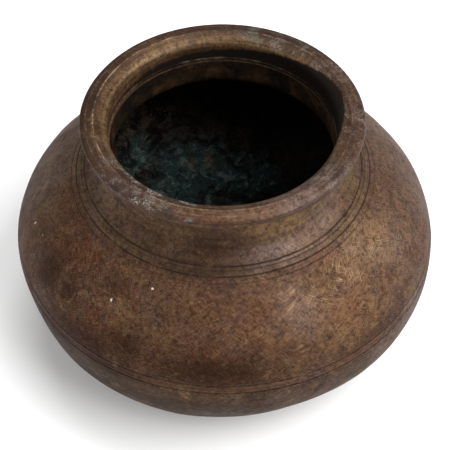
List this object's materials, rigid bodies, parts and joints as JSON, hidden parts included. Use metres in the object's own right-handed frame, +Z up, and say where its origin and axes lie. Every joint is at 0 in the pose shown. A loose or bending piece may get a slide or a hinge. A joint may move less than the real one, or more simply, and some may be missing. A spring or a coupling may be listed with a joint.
{
  "type": "necked brass pot",
  "caption": "Round-bellied brass pot with a flared neck, a heavy turned lip, incised line bands and a small flat foot, made in parts with brazed lap seams.",
  "frame": {"origin": "centre of the flat foot, on the surface that the pot stands on", "axes": "+Z up along the pot's axis, out of the mouth; X and Y level and equal, because the pot is round"},
  "size_m": [0.24, 0.24, 0.153],
  "materials": {
    "lip_brass": "worn brown patina with a bright rubbed crest",
    "neck_brass": "olive and brown patina, satin",
    "shoulder_brass": "red-brown mottled patina, satin, scratched",
    "bowl_brass": "grey-brown patina, satin",
    "braze": "dull yellow-grey braze, grimed"
  },
  "bodies": {
    "root": {"rim_ring": "lip_brass", "neck_collar": "neck_brass", "belly_shell": "shoulder_brass", "base_bowl": "bowl_brass", "rim_seam_braze": "braze", "shoulder_seam_braze": "braze", "belly_seam_braze": "braze"}
  },
  "joints": []
}
